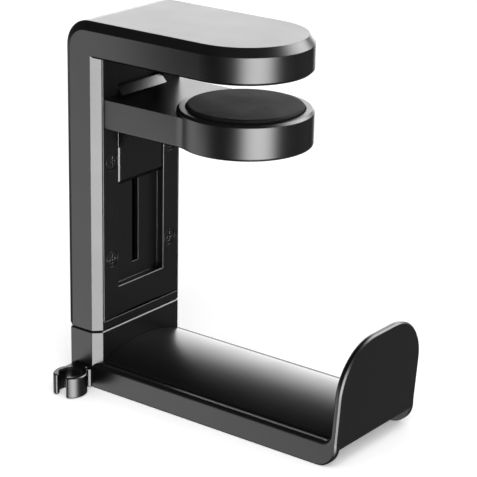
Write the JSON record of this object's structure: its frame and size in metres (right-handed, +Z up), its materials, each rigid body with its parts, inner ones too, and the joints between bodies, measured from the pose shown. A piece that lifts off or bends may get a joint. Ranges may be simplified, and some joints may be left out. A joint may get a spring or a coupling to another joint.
{
  "type": "headphone hook",
  "caption": "Clamp-on under-desk headphone hook: sprung sliding jaw with rubber pads, swivelling tray with an end lip, and a side cable clip.",
  "frame": {"origin": "centre of the upper pad's contact face, where the top of a desk touches", "axes": "+X from the column towards the free ends of the arms, +Z up, Y across the width"},
  "size_m": [0.1132, 0.0575, 0.1261],
  "materials": {
    "black_plastic": "satin moulded ABS with a fine spark texture",
    "black_plastic_dark": "fine matte moulded ABS",
    "rubber_pad": "soft matte silicone rubber",
    "black_screw": "black oxide steel",
    "steel": "bright zinc plate",
    "nylon": "natural nylon"
  },
  "bodies": {
    "frame": {"frame_shell": "black_plastic", "front_cover": "black_plastic_dark", "cover_screws": "black_screw", "arm_plate": "black_plastic_dark", "arm_plate_screws": "black_screw", "upper_pad": "rubber_pad", "spring_anchor_pin": "steel", "clamp_spring_near": "steel", "clamp_spring_far": "steel", "swivel_disc": "nylon", "wave_washer": "steel", "pivot_nut": "steel", "pivot_bolt": "steel"},
    "jaw": {"jaw_arm": "black_plastic", "jaw_pad": "rubber_pad", "slider_block": "nylon", "slider_screws": "steel", "slider_washers": "steel"},
    "hook": {"hook_bracket": "black_plastic", "tray_saddle": "black_plastic", "saddle_screws": "black_screw", "cable_clip": "black_plastic", "clip_screw": "black_screw", "bearing_washer": "steel"}
  },
  "joints": [
    {"name": "jaw_slide", "type": "slide", "parent": "frame", "child": "jaw", "axis": [0, 0, 1], "range_m": [-0.03, 0], "stiffness_N_per_m": 220, "springref_m": 0.03, "deforming": ["clamp_spring_near", "clamp_spring_far"]},
    {"name": "hook_swivel", "type": "hinge", "parent": "frame", "child": "hook", "pos_m": [-0.05, 0, -0.0942], "axis": [0, 0, 1], "continuous": true}
  ]
}
